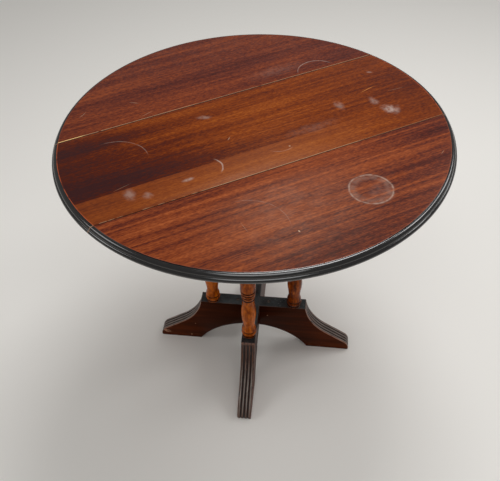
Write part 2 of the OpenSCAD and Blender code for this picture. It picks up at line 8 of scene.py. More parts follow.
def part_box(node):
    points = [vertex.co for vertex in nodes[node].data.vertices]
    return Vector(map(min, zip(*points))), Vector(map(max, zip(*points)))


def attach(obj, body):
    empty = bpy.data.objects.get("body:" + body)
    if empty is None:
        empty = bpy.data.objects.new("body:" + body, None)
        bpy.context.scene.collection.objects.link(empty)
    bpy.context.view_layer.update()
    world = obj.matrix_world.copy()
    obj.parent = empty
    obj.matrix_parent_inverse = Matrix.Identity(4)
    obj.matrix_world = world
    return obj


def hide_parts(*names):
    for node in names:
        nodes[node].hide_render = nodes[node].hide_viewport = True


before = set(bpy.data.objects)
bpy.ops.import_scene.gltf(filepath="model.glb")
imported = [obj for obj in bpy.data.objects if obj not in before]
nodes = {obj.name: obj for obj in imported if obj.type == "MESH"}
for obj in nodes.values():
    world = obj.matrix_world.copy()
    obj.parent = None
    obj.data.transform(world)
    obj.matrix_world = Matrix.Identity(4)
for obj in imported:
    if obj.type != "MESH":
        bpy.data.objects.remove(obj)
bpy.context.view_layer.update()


# The foot cross: two beams of dark mahogany, half lapped at the middle and set on edge.
# Each end is cut to a hollow slope with reeds worked along it, and the middle is cut away below in an arch.
# The slopes and flat tops are ebonised, and rubbed where shoes have touched them; painted highlights on the
# lower reeds, painted shade in the grooves and at the toes, and a painted bluish reflection on the flat
# tops are laid into their colour.

foot_turn = math.radians(-31)
upper_turn = foot_turn + math.pi / 2
foot_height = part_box("foot_beam_upper")[1].z
foot_reach = 0.280
heel_reach = 0.158
foot_flat = 0.149
hollow_steepness = math.radians(82)
slope_steepness = math.radians(35)
toe_round = 0.033
toe_lift = 0.004
arch_height = 0.087
beam_half = 0.0185
reed_count = 4
reed_depth = 0.0026
outer_reed_depth = 0.0011
reed_steps = 6
foot_edge = 0.0007
brow_margin = 0.006
hollow_steps = 30
toe_steps = 16
sole_steps = 5
arch_steps = 30
arch_steps_to_lap = 28
weld_distance = 1e-6
same_place = 1e-5


def start_outline(name, x, z):
    """Starts a piece as one point of its outline, which lies in the XZ plane."""
    bpy.ops.object.select_all(action="DESELECT")
    bpy.ops.mesh.primitive_plane_add(size=0.001, location=(x, 0, z))
    piece = bpy.context.object
    piece.name = piece.data.name = name
    bpy.ops.object.transform_apply(location=True, rotation=False, scale=False)
    bpy.ops.object.mode_set(mode="EDIT")
    bpy.ops.mesh.select_mode(type="VERT")
    bpy.ops.mesh.merge(type="CENTER")
    return piece


def outline_end():
    """The last point drawn, which is the one that is selected."""
    mesh = bmesh.from_edit_mesh(bpy.context.object.data)
    return next(point.co.copy() for point in mesh.verts if point.select)


def draw_to(*points):
    """Draws straight on to each of the points in turn."""
    for x, z in points:
        last = outline_end()
        bpy.ops.mesh.extrude_vertices_move(TRANSFORM_OT_translate={"value": (x - last.x, 0, z - last.z)})


def draw_arc(centre, end, steps):
    """Draws the shorter arc about a centre until it points at the end."""
    last = outline_end()
    first_angle = math.atan2(last.z - centre[1], last.x - centre[0])
    turn = math.atan2(end[1] - centre[1], end[0] - centre[0]) - first_angle
    turn = (turn + math.pi) % (2 * math.pi) - math.pi
    bpy.ops.mesh.spin(steps=steps, angle=turn, center=(centre[0], 0, centre[1]), axis=(0, 1, 0))


def mirror_outline(across, middle):
    """Doubles the half outline to the other side of a middle point, and joins the halves."""
    bpy.ops.mesh.select_all(action="SELECT")
    bpy.ops.mesh.duplicate()
    bpy.ops.transform.resize(value=across, center_override=middle)
    bpy.ops.mesh.select_all(action="SELECT")
    bpy.ops.mesh.remove_doubles(threshold=weld_distance)


def choose(kind, test):
    """Selects the points, edges or faces that pass a test, and returns how many there are."""
    bpy.ops.mesh.select_mode(type={"verts": "VERT", "edges": "EDGE", "faces": "FACE"}[kind])
    bpy.ops.mesh.select_all(action="DESELECT")
    mesh = bmesh.from_edit_mesh(bpy.context.object.data)
    chosen = [part for part in getattr(mesh, kind) if test(part)]
    for part in chosen:
        part.select_set(True)
    bmesh.update_edit_mesh(bpy.context.object.data)
    return len(chosen)


def close_piece(piece, smooth_below=35):
    """Merges doubles, turns every face outwards, leaves edit mode and smooths the gentle edges."""
    bpy.ops.mesh.select_all(action="SELECT")
    bpy.ops.mesh.remove_doubles(threshold=weld_distance)
    bpy.ops.mesh.normals_make_consistent(inside=False)
    bpy.ops.object.mode_set(mode="OBJECT")
    bpy.ops.object.shade_smooth_by_angle(angle=math.radians(smooth_below))
    return piece


hollow_normal = Vector((math.sin(hollow_steepness), math.cos(hollow_steepness)))
slope_normal = Vector((math.sin(slope_steepness), math.cos(slope_steepness)))
hollow_start = Vector((foot_flat, foot_height))
toe_centre = Vector((foot_reach - toe_round, toe_lift))
hollow_radius = ((hollow_start - toe_centre).dot(slope_normal) - toe_round) / (
    1 - hollow_normal.dot(slope_normal))
hollow_centre = hollow_start + hollow_radius * hollow_normal
sole_centre = Vector((foot_reach - toe_lift, toe_lift))
arch_radius = (heel_reach ** 2 + arch_height ** 2) / (2 * arch_height)
arch_centre = Vector((0, arch_height - arch_radius))
foot_lap = (foot_height + arch_height) / 2


def draw_foot(name, notch_above):
    """Draws the side outline of a foot beam, with half of the lap cut from above or from below."""
    if notch_above:
        start_outline(name, 0, foot_lap)
        draw_to((beam_half, foot_lap), (beam_half, foot_height))
    else:
        start_outline(name, 0, foot_height)
    draw_to((foot_flat - brow_margin, foot_height), (foot_flat, foot_height))
    draw_arc(hollow_centre, hollow_centre - hollow_radius * slope_normal, hollow_steps)
    draw_to(toe_centre + toe_round * slope_normal)
    draw_arc(toe_centre, (foot_reach, toe_lift), toe_steps)
    draw_arc(sole_centre, (sole_centre.x, 0), sole_steps)
    draw_to((heel_reach, 0))
    if notch_above:
        draw_arc(arch_centre, (0, arch_height), arch_steps)
    else:
        arch_at_lap = arch_centre.y + math.sqrt(arch_radius ** 2 - beam_half ** 2)
        draw_arc(arch_centre, (beam_half, arch_at_lap), arch_steps_to_lap)
        draw_to((beam_half, foot_lap), (0, foot_lap))


def reed_inset(across):
    """How deep the slope lies at a place across the beam: nothing on a reed's crest, full between reeds."""
    place = (across + beam_half) / (2 * beam_half / reed_count) % 1
    outer_crest = beam_half * (1 - 1 / reed_count)
    depth = outer_reed_depth if abs(across) > outer_crest else reed_depth
    return depth * (1 - math.sqrt(max(0, 1 - (2 * place - 1) ** 2)))


def work_reeds(across):
    """Shapes the slope at one place across the beam, at both ends: each curve shrinks about its centre."""
    inset = reed_inset(across)
    near = 3e-5
    for side in (-1, 1):
        for centre, radius, new_radius, lowest, highest in (
            (sole_centre, toe_lift, toe_lift - inset, near, toe_lift - near),
            (toe_centre, toe_round, toe_round - inset, toe_lift - near, foot_height),
            (hollow_centre, hollow_radius, hollow_radius + inset, toe_lift, foot_height + near),
        ):
            def on_curve(point):
                away = math.hypot(point.co.x * side - centre.x, point.co.z - centre.y) - radius
                return (abs(point.co.y - across) < near and point.co.x * side > foot_flat - near
                        and abs(away) < near and lowest < point.co.z < highest)

            if choose("verts", on_curve):
                factor = new_radius / radius
                bpy.ops.transform.resize(
                    value=(factor, 1, factor), center_override=(side * centre.x, across, centre.y))


def make_foot_beam(name, turn, notch_above):
    """Makes a foot beam from its outline, works its reeds and eases its edges."""
    draw_foot(name, notch_above)
    mirror_outline((-1, 1, 1), (0, 0, 0))
    bpy.ops.mesh.edge_face_add()
    bpy.ops.transform.translate(value=(0, -beam_half, 0))
    bpy.ops.mesh.extrude_region_move(TRANSFORM_OT_translate={"value": (0, 2 * beam_half, 0)})
    reed_half = beam_half / reed_count
    places = [
        (2 * reed + 1) * reed_half - beam_half - reed_half * math.cos(math.pi * step / reed_steps)
        for reed in range(reed_count) for step in range(reed_steps)
    ]
    for across in places[1:]:
        bpy.ops.mesh.select_all(action="SELECT")
        bpy.ops.mesh.bisect(plane_co=(0, across, 0), plane_no=(0, 1, 0))
    for across in places + [beam_half]:
        work_reeds(across)

    def on_side_edge(edge):
        ends = [point.co for point in edge.verts]
        on_a_side = all(abs(abs(end.y) - beam_half) < same_place for end in ends)
        clear_of_slopes = all(abs(end.x) < foot_flat - brow_margin / 2 for end in ends)
        return on_a_side and clear_of_slopes and abs(ends[0].y - ends[1].y) < same_place

    choose("edges", on_side_edge)
    bpy.ops.mesh.bevel(offset=foot_edge, segments=2, affect="EDGES")
    piece = close_piece(bpy.context.object)
    piece.rotation_euler.z = turn
    bpy.ops.object.transform_apply(location=False, rotation=True, scale=False)
    return piece


foot_lower = make_foot_beam("foot_beam_reeded_lower", foot_turn, True)
foot_upper = make_foot_beam("foot_beam_reeded_upper", upper_turn, False)

lap_screw_reach = 0.044
screw_head = 0.0048
screw_shank = 0.0024
countersink_spare = 0.0003
countersink_sides = 48


def countersink(piece, x, y, surface):
    """Cuts the conical seat of a screw's head into a surface that faces up."""
    bpy.ops.object.select_all(action="DESELECT")
    depth = screw_head - screw_shank + countersink_spare
    bpy.ops.mesh.primitive_cone_add(
        vertices=countersink_sides, radius1=screw_shank, radius2=screw_head + countersink_spare,
        depth=depth, location=(x, y, surface + countersink_spare - depth / 2))
    cutter = bpy.context.object
    bpy.ops.object.select_all(action="DESELECT")
    bpy.context.view_layer.objects.active = piece
    piece.select_set(True)
    cut = piece.modifiers.new("countersink", "BOOLEAN")
    cut.object = cutter
    cut.solver = "EXACT"
    bpy.ops.object.modifier_apply(modifier=cut.name)
    bpy.data.objects.remove(cutter)


for piece, turn in ((foot_lower, foot_turn), (foot_upper, upper_turn)):
    for side in (-1, 1):
        reach = side * lap_screw_reach
        countersink(piece, reach * math.cos(turn), reach * math.sin(turn), foot_height)


def shade(*levels):
    """A colour as it looks on a screen, from 0 to 255, as the linear colour that a shader takes."""
    linear = [
        (level / 255 / 12.92) if level / 255 <= 0.04045 else ((level / 255 + 0.055) / 1.055) ** 2.4
        for level in levels
    ]
    return (*linear, 1)


class Finish:
    """A finish that is built up as a polisher does: the wood's colour, then marks, then the sheen."""

    def __init__(self, name):
        self.material = bpy.data.materials.new(name)
        self.material.use_nodes = True
        self.tree = self.material.node_tree
        self.shader = self.tree.nodes["Principled BSDF"]
        self.place = self.add("TexCoord").outputs["Object"]
        drift = self.noise((0.02, 0.02, 0.02), detail=1, output="Color")
        centred_drift = self.add("VectorMath", {0: drift, 1: (0.5, 0.5, 0.5)}, operation="SUBTRACT")
        self.drift = centred_drift.outputs[0]
        self.colour = None
        self.rough = None

    def feed(self, node, inputs):
        """Gives a node its inputs, each a number, a colour or another node's output."""
        for socket, value in inputs.items():
            if isinstance(value, bpy.types.NodeSocket):
                self.tree.links.new(value, node.inputs[socket])
            else:
                node.inputs[socket].default_value = value

    def add(self, kind, inputs=None, **settings):
        """Adds a node with its settings and inputs."""
        made = self.tree.nodes.new("ShaderNode" + kind)
        for setting, value in settings.items():
            setattr(made, setting, value)
        self.feed(made, inputs or {})
        return made

    def centred(self, centre=(0, 0, 0), size=(1, 1, 1), turn=0, wander=0.0):
        """Places measured from a centre, turned about Z, in units of a size."""
        place = self.place
        if wander:
            shift = self.add("VectorMath", {0: self.drift, "Scale": wander}, operation="SCALE").outputs[0]
            place = self.add("VectorMath", {0: place, 1: shift}, operation="ADD").outputs[0]
        inputs = {"Vector": place, "Location": centre, "Rotation": (0, 0, turn), "Scale": size}
        return self.add("Mapping", inputs, vector_type="TEXTURE").outputs[0]

    def noise(self, size, detail=2, turn=0, centre=(0, 0, 0), output="Fac"):
        """Noise whose features have the given length, width and height."""
        inputs = {"Vector": self.centred(centre, size, turn), "Scale": 1, "Detail": detail}
        return self.add("TexNoise", inputs).outputs[output]

    def calc(self, operation, first, second=0.0, third=0.0):
        """One step of arithmetic."""
        return self.add("Math", {0: first, 1: second, 2: third}, operation=operation).outputs[0]

    def times(self, first, second):
        """One value times another; of two masks, what both of them cover."""
        return self.calc("MULTIPLY", first, second)

    def away(self, value, place):
        """How far a value is from a place, to either side."""
        return self.calc("ABSOLUTE", self.calc("SUBTRACT", value, place))

    def length(self, vector):
        """How long a vector is."""
        return self.add("VectorMath", {0: vector}, operation="LENGTH").outputs["Value"]

    def remap(self, value, low, high, to_low=0.0, to_high=1.0):
        """A smooth step from one level to another, as the value goes from low to high."""
        inputs = {"Value": value, "From Min": low, "From Max": high, "To Min": to_low, "To Max": to_high}
        return self.add("MapRange", inputs, interpolation_type="SMOOTHSTEP").outputs[0]

    def ramp(self, value, *stops):
        """Colours along a value, each stop a place from 0 to 1 and a colour."""
        made = self.add("ValToRGB", {"Fac": value})
        band = made.color_ramp
        while len(band.elements) < len(stops):
            band.elements.new(0.5)
        for element, (place, colour) in zip(band.elements, stops):
            element.position = place
            element.color = colour
        return made.outputs["Color"]

    def along(self, axis, turn=0):
        """The place along X, Y or Z, or along those axes turned about Z."""
        return self.add("SeparateXYZ", {0: self.centred(turn=turn)}).outputs[axis]

    def from_axis(self):
        """How far a point is from the table's upright axis; its height is made too small to count."""
        return self.length(self.centred(size=(1, 1, 1000)))

    def patch(self, centre, size, turn=0, edge=0.0, wander=0.1):
        """A soft elliptical patch, 1 at its middle and 0 outside; a larger edge gives a fuller middle."""
        distance = self.length(self.centred(centre, size, turn, wander * min(size)))
        return self.remap(distance, 1.0, edge)

    def ring(self, centre, radius, width):
        """A thin round line, such as the mark of a glass."""
        distance = self.length(self.centred(centre, wander=0.002))
        return self.remap(self.away(distance, radius), width, 0.0)

    def stain(self, mask, colour, amount):
        """Lays a colour over the finish where the mask is."""
        under, over, mixed = 6, 7, 2  # the colour sockets of a Mix node
        inputs = {"Factor": self.times(mask, amount), under: self.colour, over: colour}
        self.colour = self.add("Mix", inputs, data_type="RGBA").outputs[mixed]

    def dull(self, mask, amount):
        """Makes the sheen duller where the mask is."""
        self.rough = self.calc("MULTIPLY_ADD", mask, amount, self.rough)

    def polish(self, specular=0.5, relief=None, relief_depth=0.0001, metallic=0.0, tint=(1, 1, 1, 1)):
        """Joins the colour, the sheen and the relief to the shader; a coloured polish tints its sheen."""
        self.feed(self.shader, {
            "Base Color": self.colour, "Roughness": self.rough, "Metallic": metallic,
            "Specular IOR Level": specular, "Specular Tint": tint})
        if relief is not None:
            bump = self.add("Bump", {"Height": relief, "Distance": relief_depth, "Strength": 1.0})
            self.feed(self.shader, {"Normal": bump.outputs[0]})
        return self.material


amber_polish = (1.0, 0.62, 0.34, 1)


def foot_side_finish(name, turn):
    """Dark polished mahogany, its grain along the beam, with painted shade at the beam's middle."""
    wood = Finish(name)
    broad = wood.noise((0.30, 0.02, 0.020), turn=turn)
    fine = wood.noise((0.06, 0.002, 0.0020), detail=3, turn=turn)
    tone = wood.calc("MULTIPLY_ADD", fine, 0.30, wood.times(broad, 0.50))
    # Painted shade: the side is darker at the middle of the beam and lighter towards its ends.
    middle = wood.calc("ABSOLUTE", wood.along("X", turn))
    tone = wood.calc("ADD", tone, wood.remap(middle, 0.06, 0.24, 0.0, 0.14))
    wood.colour = wood.ramp(
        tone, (0.30, shade(37, 9, 0)), (0.48, shade(64, 20, 0)), (0.68, shade(96, 37, 3)))
    wood.rough = wood.remap(fine, 0.2, 0.8, 0.34, 0.44)
    low = wood.remap(wood.along("Z"), 0.030, 0.004)
    scuff = wood.noise((0.02, 0.02, 0.004), detail=4, turn=turn)
    scuffs = wood.times(low, wood.remap(scuff, 0.54, 0.68))
    wood.stain(scuffs, shade(120, 82, 56), 0.5)
    wood.dull(scuffs, 0.3)
    return wood


def chips(wood, turn, colour, *places):
    """Chips in a beam's near side: distance along the beam, height, half length, half height and slope."""
    near_side = wood.remap(wood.along("Y", turn), 0.001, -0.001)
    beam_place = wood.centred(turn=turn)
    for along, height, half_length, half_height, slope in places:
        inputs = {
            "Vector": beam_place, "Location": (along, 0, height), "Rotation": (0, slope, 0),
            "Scale": (half_length, 1, half_height)}
        ahead = wood.add("Mapping", inputs, vector_type="TEXTURE").outputs[0]
        ragged = wood.noise((0.003, 0.003, 0.003), detail=2)
        mask = wood.remap(wood.calc("MULTIPLY_ADD", ragged, 0.9, wood.length(ahead)), 1.35, 0.9)
        mask = wood.times(mask, near_side)
        wood.stain(mask, colour, 0.9)
        wood.dull(mask, 0.3)


def foot_top_finish(name, turn, edge_wear):
    """Ebonised wood: dusty on the flat top, with a painted bluish reflection there; brown on the upper
    reeds, rubbed grey with a painted highlight on the lower ones; painted shade in the grooves and at the
    toe.
    """
    black = Finish(name)
    fine = black.noise((0.05, 0.002, 0.02), detail=3, turn=turn)
    cloud = black.noise((0.05, 0.03, 0.05), detail=3, turn=turn)
    height = black.along("Z")
    flat = black.remap(height, foot_height - 0.004, foot_height - 0.001)
    black.colour = black.ramp(
        fine, (0.30, shade(54, 26, 12)), (0.55, shade(94, 50, 25)), (0.75, shade(128, 75, 43)))
    below_hollow = black.remap(height, 0.125, 0.075)
    # Painted shade: the rubbed grey fades out towards the sole, darkening the toe.
    clear_of_toe_shade = black.remap(height, 0.006, 0.040, 0.2, 1.0)
    lower = black.times(below_hollow, clear_of_toe_shade)
    # The lower reeds are rubbed grey, and this grey also paints the highlight on their crests.
    rubbed_grey_and_highlight = black.ramp(fine, (0.30, shade(104, 91, 85)), (0.70, shade(176, 160, 149)))
    black.stain(lower, rubbed_grey_and_highlight, 0.85)
    # Between the reeds the black is left, and it is darkened further as painted shade in the grooves.
    across = black.calc("ABSOLUTE", black.along("Y", turn))
    reed = black.calc("FRACT", black.calc("DIVIDE", across, 2 * beam_half / reed_count))
    from_crest = black.calc("ABSOLUTE", black.calc("MULTIPLY_ADD", reed, 2.0, -1.0))
    black.stain(black.remap(from_crest, 0.14, 0.54), shade(14, 9, 9), 0.95)
    # The flat top's cloudy blue-grey is dust and a painted bluish reflection.
    black.stain(flat, black.ramp(cloud, (0.38, shade(10, 18, 23)), (0.66, shade(64, 74, 77))), 0.94)
    black.rough = black.remap(cloud, 0.3, 0.7, 0.26, 0.40)
    rub = black.noise((0.012, 0.003, 0.012), detail=4, turn=turn, centre=(3, 1, 0))
    rubbed = black.times(black.remap(rub, 0.58, 0.72), black.remap(flat, 0, 1, 1.0, 0.3))
    black.stain(rubbed, shade(110, 74, 54), 0.6)
    worn = black.remap(black.noise((0.02, 0.02, 0.02), detail=3, centre=(1, 2, 5)), 0.34, 0.48)
    arris = black.times(black.remap(across, beam_half - 0.0020, beam_half - 0.0010), worn)
    arris = black.times(arris, black.remap(flat, 0, 1, 1.0, 0.25))
    black.stain(arris, shade(196, 138, 112), edge_wear)
    along = black.calc("ABSOLUTE", black.along("X", turn))
    brow = black.remap(black.away(along, foot_flat), 0.0012, 0.0005)
    black.stain(black.times(brow, worn), shade(150, 104, 84), 0.55)
    dust = black.noise((0.004, 0.004, 0.004), detail=3)
    specks = black.times(black.remap(dust, 0.60, 0.74), flat)
    black.stain(specks, shade(132, 132, 128), 0.5)
    black.dull(specks, 0.3)
    return black.polish(relief=rub, relief_depth=0.0001)


def two_finishes(piece, main, other, test):
    """Gives the piece a main finish, and another on the faces that pass the test."""
    piece.data.materials.clear()
    piece.data.materials.append(main)
    piece.data.materials.append(other)
    for face in piece.data.polygons:
        face.material_index = 1 if test(face) else 0


for piece, turn, node, edge_wear in (
    (foot_lower, foot_turn, "foot_beam_lower", 0.85),
    (foot_upper, upper_turn, "foot_beam_upper", 0.30),
):
    sideways = Vector((-math.sin(turn), math.cos(turn), 0))
    side = foot_side_finish(node + "_side", turn)
    if node == "foot_beam_lower":
        chips(side, turn, shade(204, 150, 120), (-0.262, 0.020, 0.015, 0.0075, 0.35),
              (-0.187, 0.012, 0.003, 0.003, 0), (0.042, 0.130, 0.0026, 0.0026, 0),
              (-0.172, 0.066, 0.002, 0.002, 0))
        chips(side, turn, shade(48, 20, 10), (-0.259, 0.019, 0.009, 0.0032, 0.35))
    two_finishes(
        piece, side.polish(specular=0.08, tint=amber_polish),
        foot_top_finish(node + "_black", turn, edge_wear),
        lambda face: abs(face.normal.dot(sideways)) < 0.9 and face.normal.z > -0.2)
    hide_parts(node)
    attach(piece, "pedestal")


# Four countersunk steel screws go down beside the lap and hold the two beams together.
# Their heads have gone brown-grey under the old black finish.


def metal_finish(name, colour, dark, roughness):
    """Old metal: cloudy tarnish over a worn face."""
    metal = Finish(name)
    cloud = metal.noise((0.006, 0.006, 0.006), detail=3)
    fine = metal.noise((0.0012, 0.0012, 0.0012), detail=2)
    metal.colour = metal.ramp(cloud, (0.35, dark), (0.62, colour))
    metal.rough = metal.remap(cloud, 0.3, 0.7, roughness + 0.15, roughness)
    return metal.polish(relief=fine, relief_depth=0.00003, metallic=1.0)


def dress(material, *names):
    """Gives one finish to nodes of the construction that keep their own mesh."""
    for name in names:
        mesh = nodes[name].data
        mesh.materials.clear()
        mesh.materials.append(material)


screw_steel = metal_finish("old_screw_steel", shade(120, 112, 104), shade(60, 50, 44), 0.42)
dress(screw_steel, "foot_lap_screws")


# The four columns: beech turned on a lathe and stained cherry.
# From each end a base, a full ring, a vase and three small rings lead to the plain middle.
# The round tenons at their ends are hidden in the foot and head beams, and are left out here.

column_reach = 0.115
column_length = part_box("head_beam_lower")[0].z - foot_height
base_radius = 0.0192
base_height = 0.0034
base_step = 0.0012
ring_start = 0.0056
end_ring_radius = 0.0205
end_ring_height = 0.020
neck_radius = 0.016
full_radius = 0.020
vase_length = 0.130
lower_neck = 0.17
upper_neck = 0.885
flare_step = 0.0005
ring_step = 0.001
small_rings = 3
small_ring_height = 0.0105
ring_growth = 0.00125
ring_bulge = 0.0028
core_radius = neck_radius - ring_step
plain_quirk = 0.0015
plain_edge = 0.0006
groove_spread = 0.0036
end_ring_steps = 16
lower_flare_steps = 12
vase_steps = 36
upper_flare_steps = 8
small_ring_steps = 10
lathe_steps = 64

column_shape = start_outline("turned_column_shape", 0, 0)
draw_to(
    (base_radius, 0), (base_radius, base_height), (base_radius - base_step, base_height + base_step / 2),
    (base_radius - base_step, ring_start - base_step / 2), (base_radius - base_step / 3, ring_start))


def end_ring_at(share):
    """The end ring's radius: from the base's at its foot, through its fullest, to the neck's."""
    low = base_radius - base_step / 3 if share < 0.5 else neck_radius
    return low + (end_ring_radius - low) * math.sin(math.pi * share)


draw_to(*(
    (end_ring_at(step / end_ring_steps),
     ring_start + (end_ring_height - ring_start) * step / end_ring_steps)
    for step in range(1, end_ring_steps + 1)
))
ring_bottom = end_ring_height + vase_length
lower_flare_radius = full_radius - flare_step
lower_flare_bottom = end_ring_height + ring_step
lower_flare_height = vase_length * lower_neck - ring_step
upper_flare_radius = full_radius - (small_rings - 1) * ring_growth - flare_step


def ease(share):
    """A smooth climb from 0 to 1."""
    return (1 - math.cos(math.pi * share)) / 2


def turned(outer_radius, share):
    """The radius between the neck and a fuller place, at a share of the climb."""
    return neck_radius + (outer_radius - neck_radius) * ease(share)


draw_to(*(
    (turned(lower_flare_radius, 1 - step / lower_flare_steps),
     lower_flare_bottom + lower_flare_height * step / lower_flare_steps)
    for step in range(lower_flare_steps)
))
draw_to(*(
    (turned(full_radius, 2 * step / vase_steps),
     end_ring_height + vase_length * (lower_neck + (upper_neck - lower_neck) * step / vase_steps))
    for step in range(vase_steps + 1)
))
draw_to(*(
    (turned(upper_flare_radius, step / upper_flare_steps),
     end_ring_height + vase_length * (upper_neck + (1 - upper_neck) * step / upper_flare_steps))
    for step in range(1, upper_flare_steps + 1)
))
ring_curve = ((small_ring_height / 2) ** 2 + ring_bulge ** 2) / (2 * ring_bulge)
for ring in range(small_rings):
    reach = full_radius - (small_rings - 1 - ring) * ring_growth
    ring_z = ring_bottom + ring * small_ring_height
    draw_to((reach - ring_bulge, ring_z))
    draw_arc((reach - ring_curve, ring_z + small_ring_height / 2),
             (reach - ring_bulge, ring_z + small_ring_height), small_ring_steps)
plain_bottom = ring_bottom + small_rings * small_ring_height + plain_quirk
draw_to(
    (core_radius, plain_bottom), (full_radius - plain_edge, plain_bottom),
    (full_radius, plain_bottom + plain_edge), (full_radius, column_length / 2))
mirror_outline((1, 1, -1), (0, 0, column_length / 2))
bpy.ops.mesh.spin(steps=lathe_steps, angle=2 * math.pi, center=(0, 0, 0), axis=(0, 0, 1))
close_piece(column_shape, 40)

groove_heights = [(base_height + ring_start) / 2, end_ring_height] + [
    ring_bottom + ring * small_ring_height for ring in range(small_rings + 1)]
crest_heights = [base_height / 2] + [
    ring_bottom + (ring + 0.5) * small_ring_height for ring in range(small_rings)]
# Painted light: the height, from either end, at which a column's vase is painted lightest.
brightest_height = 0.085


def nearest_of(wood, heights):
    """How far a point of a column is from the nearest of some heights, counted from either end."""
    from_middle = wood.away(wood.along("Z"), foot_height + column_length / 2)
    nearest = None
    for height in heights:
        away = wood.away(from_middle, column_length / 2 - height)
        nearest = wood.calc("MINIMUM", nearest, away) if nearest else away
    return nearest


def column_finish(side, painted_light_shift):
    """Cherry-coloured polish over beech, rubbed on the rings, with a painted highlight on their crests,
    dark stain and painted shade in the grooves, and painted light that varies with the column's side and
    along its vase.
    """
    wood = Finish("cherry_column_" + side)
    long_grain = wood.noise((0.010, 0.010, 0.10), detail=2)
    mottle = wood.noise((0.010, 0.010, 0.016), detail=3, centre=(2, 7, 3))
    fine = wood.noise((0.0014, 0.0014, 0.03), detail=3)
    tone = wood.calc("MULTIPLY_ADD", fine, 0.22, wood.times(long_grain, 0.50))
    tone = wood.calc("MULTIPLY_ADD", mottle, 0.50, tone)
    # Painted light: lighter at the vase, darker at the plain middle, and lighter or darker as a whole by
    # the column's side.
    from_vase = nearest_of(wood, [brightest_height])
    lift = wood.remap(from_vase, 0.10, 0.01, painted_light_shift - 0.05, painted_light_shift + 0.08)
    tone = wood.calc("ADD", tone, lift)
    wood.colour = wood.ramp(
        tone, (0.44, shade(70, 20, 2)), (0.60, shade(140, 60, 4)), (0.80, shade(206, 104, 16)))
    # The rings' crests are rubbed pale, and this pale colour also paints their highlight.
    crest_rub_and_highlight = wood.remap(nearest_of(wood, crest_heights), 0.0026, 0.0008)
    wood.stain(wood.times(crest_rub_and_highlight, wood.remap(mottle, 0.40, 0.60)), shade(176, 106, 74), 0.45)
    # Dark stain in the grooves between the rings, deepened as painted shade.
    groove_stain_and_shade = wood.remap(nearest_of(wood, groove_heights), groove_spread, groove_spread * 0.45)
    wood.stain(groove_stain_and_shade, shade(24, 8, 5), 0.94)
    wood.rough = wood.remap(fine, 0.2, 0.8, 0.18, 0.28)
    nick = wood.noise((0.006, 0.006, 0.003), detail=3, centre=(5, 2, 1))
    nicks = wood.remap(nick, 0.66, 0.75)
    wood.stain(nicks, shade(58, 22, 8), 0.6)
    wood.dull(nicks, 0.25)
    return wood.polish(specular=0.22, relief=fine, relief_depth=0.00003, tint=amber_polish)


# How much each column is painted lighter or darker, by the side it stands on.
column_painted_light = ("right", -0.11), ("back", 0.0), ("left", 0.06), ("front", 0.03)
for place, (side, painted_light_shift) in enumerate(column_painted_light):
    turn = foot_turn + place * math.pi / 2
    column = column_shape.copy()
    column.data = column_shape.data.copy()
    column.name = column.data.name = "turned_column_" + side
    bpy.context.collection.objects.link(column)
    column.data.materials.append(column_finish(side, painted_light_shift))
    column.data.transform(Matrix.Translation((
        column_reach * math.cos(turn), column_reach * math.sin(turn), foot_height)))
    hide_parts("column_" + side)
    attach(column, "pedestal")
bpy.data.objects.remove(column_shape)


# The head cross: two plain beams, half lapped like the feet, sit on the columns' upper tenons.
# A screw goes down into each column, and felt pads on top let the table top turn without rubbing.


def hidden_wood_finish(name, turn, dark, middle, light):
    """Plain unpolished timber, as used where nobody looks."""
    wood = Finish(name)
    broad = wood.noise((0.35, 0.018, 0.018), turn=turn)
    fine = wood.noise((0.05, 0.0012, 0.0012), detail=3, turn=turn)
    tone = wood.calc("MULTIPLY_ADD", fine, 0.45, wood.times(broad, 0.65))
    wood.colour = wood.ramp(tone, (0.36, dark), (0.54, middle), (0.72, light))
    grime = wood.noise((0.06, 0.05, 0.05), detail=3, centre=(1, 4, 2))
    wood.stain(wood.remap(grime, 0.50, 0.72), dark, 0.5)
    wood.rough = wood.remap(fine, 0.2, 0.8, 0.50, 0.66)
    return wood.polish(specular=0.4, relief=fine, relief_depth=0.0001)


head_tones = shade(34, 16, 9), shade(60, 30, 17), shade(88, 48, 28)
for turn, node in ((foot_turn, "head_beam_lower"), (upper_turn, "head_beam_upper")):
    dress(hidden_wood_finish(node + "_stained", turn, *head_tones), node)
dress(screw_steel, "head_screws")

felt = Finish("green_felt")
felt_fibre = felt.noise((0.0016, 0.0006, 0.0008), detail=4)
felt.colour = felt.ramp(felt_fibre, (0.3, shade(28, 48, 34)), (0.7, shade(64, 92, 68)))
felt.rough = 0.95
dress(felt.polish(specular=0.2, relief=felt_fibre, relief_depth=0.0004), "felt_pads")


# The pivot: a coach bolt through a round block under the centre board and through the head cross.
# A washer and a lock nut below hold it, loose enough for the top to turn.

block_tones = shade(58, 30, 16), shade(98, 56, 31), shade(134, 84, 50)
dress(hidden_wood_finish("block_timber", 0, *block_tones), "pivot_block")
dress(metal_finish("bolt_steel", shade(150, 145, 138), shade(86, 78, 70), 0.34),
      "pivot_bolt", "pivot_washer", "pivot_nut")
dress(screw_steel, "pivot_block_screws")


# Two battens across the centre board keep it flat.
# They are plain hardwood, screwed to the board from below.

batten_wood = hidden_wood_finish("batten_timber", math.pi / 2, *block_tones)
dress(batten_wood, "batten_left", "batten_right")
dress(screw_steel, "batten_screws")


# The round top: three veneered boards side by side, cut from one disc, with arrises just eased.
# The ribbon-figured mahogany runs along the joints; years of use have left rings, blooms and scratches.

table_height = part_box("centre_board")[1].z
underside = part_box("centre_board")[0].z
field_radius = -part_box("centre_board")[0].x
board_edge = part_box("centre_board")[1].y
leaf_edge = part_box("far_leaf")[0].y
board_arris = 0.0004
round_steps = 256


